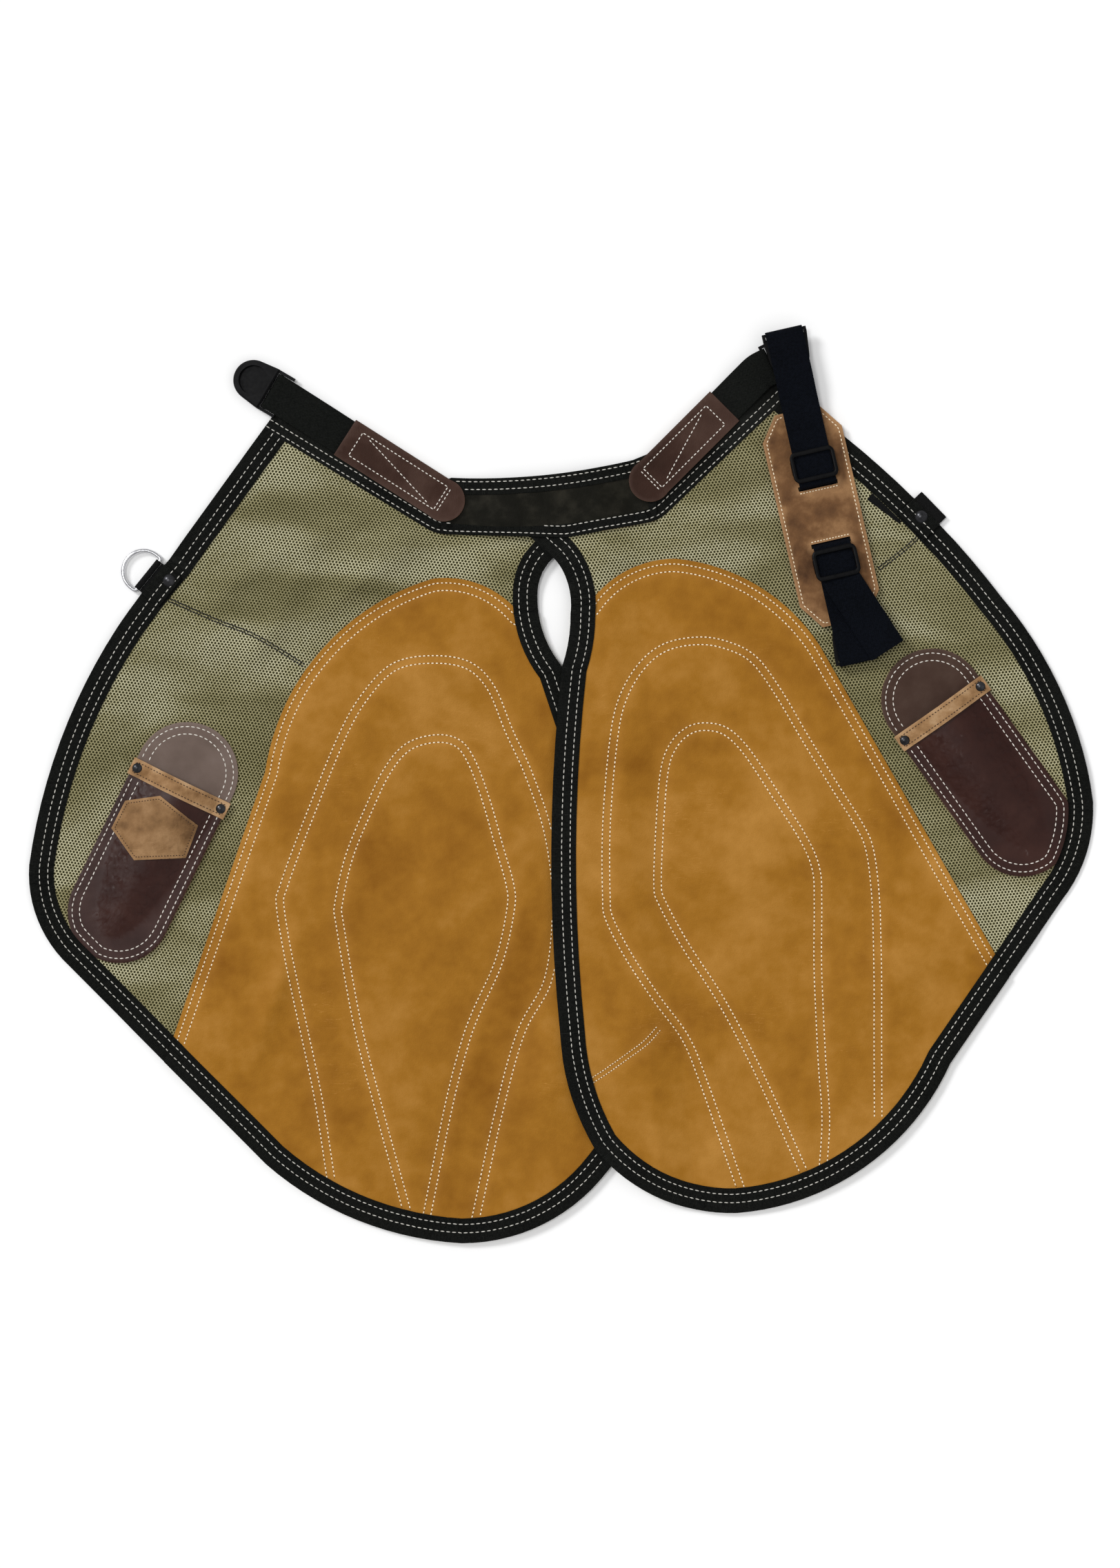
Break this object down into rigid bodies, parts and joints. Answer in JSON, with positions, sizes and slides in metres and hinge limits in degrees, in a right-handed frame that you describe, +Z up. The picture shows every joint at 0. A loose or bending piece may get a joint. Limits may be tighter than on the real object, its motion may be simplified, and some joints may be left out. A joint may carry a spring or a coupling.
{
  "type": "shoeing apron",
  "caption": "Farrier's shoeing apron laid flat: leather-fronted mesh legs overlapping at a split, bound edges, tool pockets, belt tabs with round-nosed buckles and a padded back strap.",
  "frame": {"origin": "on the surface the apron lies on, under the middle of its outline", "axes": "+X across the apron to the leg that lies on top, +Y from the hems to the waist, +Z up out of the apron's face"},
  "size_m": [1.0785, 0.9293, 0.0192],
  "materials": {
    "mesh_cloth": "open woven mesh",
    "leg_leather": "smooth, lightly worn",
    "lining_leather": "rough side out",
    "binding_webbing": "ribbed tape",
    "belt_webbing": "ribbed webbing",
    "strap_webbing": "twill webbing",
    "tab_leather": "smooth",
    "band_leather": "smooth",
    "pad_leather": "distressed",
    "pocket_leather": "polished",
    "keeper_leather": "suede",
    "buckle_plastic": "glossy",
    "label_cloth": "woven",
    "rivet_metal": "dark nickel",
    "ring_metal": "nickel plated"
  },
  "bodies": {
    "apron": {"mesh_panel_left": "mesh_cloth", "leather_panel_left": "leg_leather", "knee_lining_left": "lining_leather", "edge_binding_left": "binding_webbing", "belt_webbing_left": "belt_webbing", "belt_tab_left": "tab_leather", "buckle_socket_left": "buckle_plastic", "pocket_back_left": "pocket_leather", "pocket_front_left": "pocket_leather", "pocket_keeper_left": "keeper_leather", "keeper_rivets_left": "rivet_metal", "hip_loop_left": "binding_webbing", "hip_rivet_left": "rivet_metal", "mesh_panel_right": "mesh_cloth", "leather_panel_right": "leg_leather", "knee_lining_right": "lining_leather", "edge_binding_right": "binding_webbing", "belt_webbing_right": "belt_webbing", "belt_tab_right": "tab_leather", "buckle_socket_right": "buckle_plastic", "pocket_back_right": "pocket_leather", "pocket_front_right": "pocket_leather", "pocket_keeper_right": "keeper_leather", "keeper_rivets_right": "rivet_metal", "hip_loop_right": "binding_webbing", "hip_rivet_right": "rivet_metal", "waistband": "band_leather", "waist_binding": "binding_webbing", "pocket_patch": "pocket_leather", "hip_label": "label_cloth"},
    "ring": {"d_ring_left": "ring_metal"},
    "plug": {"buckle_plug_upper": "buckle_plastic"},
    "strap": {"back_strap": "strap_webbing", "back_pad_face": "pad_leather", "back_pad_lining": "pad_leather", "buckle_plug_lower": "buckle_plastic"},
    "upper_slide": {"tri_glide_upper": "buckle_plastic"},
    "lower_slide": {"tri_glide_lower": "buckle_plastic", "strap_tail": "strap_webbing"}
  },
  "joints": [
    {"name": "hip_ring_swing", "type": "hinge", "parent": "apron", "child": "ring", "pos_m": [-0.4194, 0.21395, 0.0034], "axis": [0.6282, 0.7781, 0], "range_deg": [-2.5, 130]},
    {"name": "plug_release", "type": "slide", "parent": "apron", "child": "plug", "axis": [0, 0, 1], "range_m": [0, 0.02]},
    {"name": "back_strap_fold", "type": "hinge", "parent": "plug", "child": "strap", "pos_m": [0.22401, 0.45854, 0.0156], "axis": [-0.9751, -0.2215, 0], "range_deg": [0, 120]},
    {"name": "upper_slide_adjust", "type": "slide", "parent": "strap", "child": "upper_slide", "axis": [-0.2215, 0.9751, 0], "range_m": [0, 0.05]},
    {"name": "lower_slide_adjust", "type": "slide", "parent": "strap", "child": "lower_slide", "axis": [0.2215, -0.9751, 0], "range_m": [0, 0.03]}
  ]
}
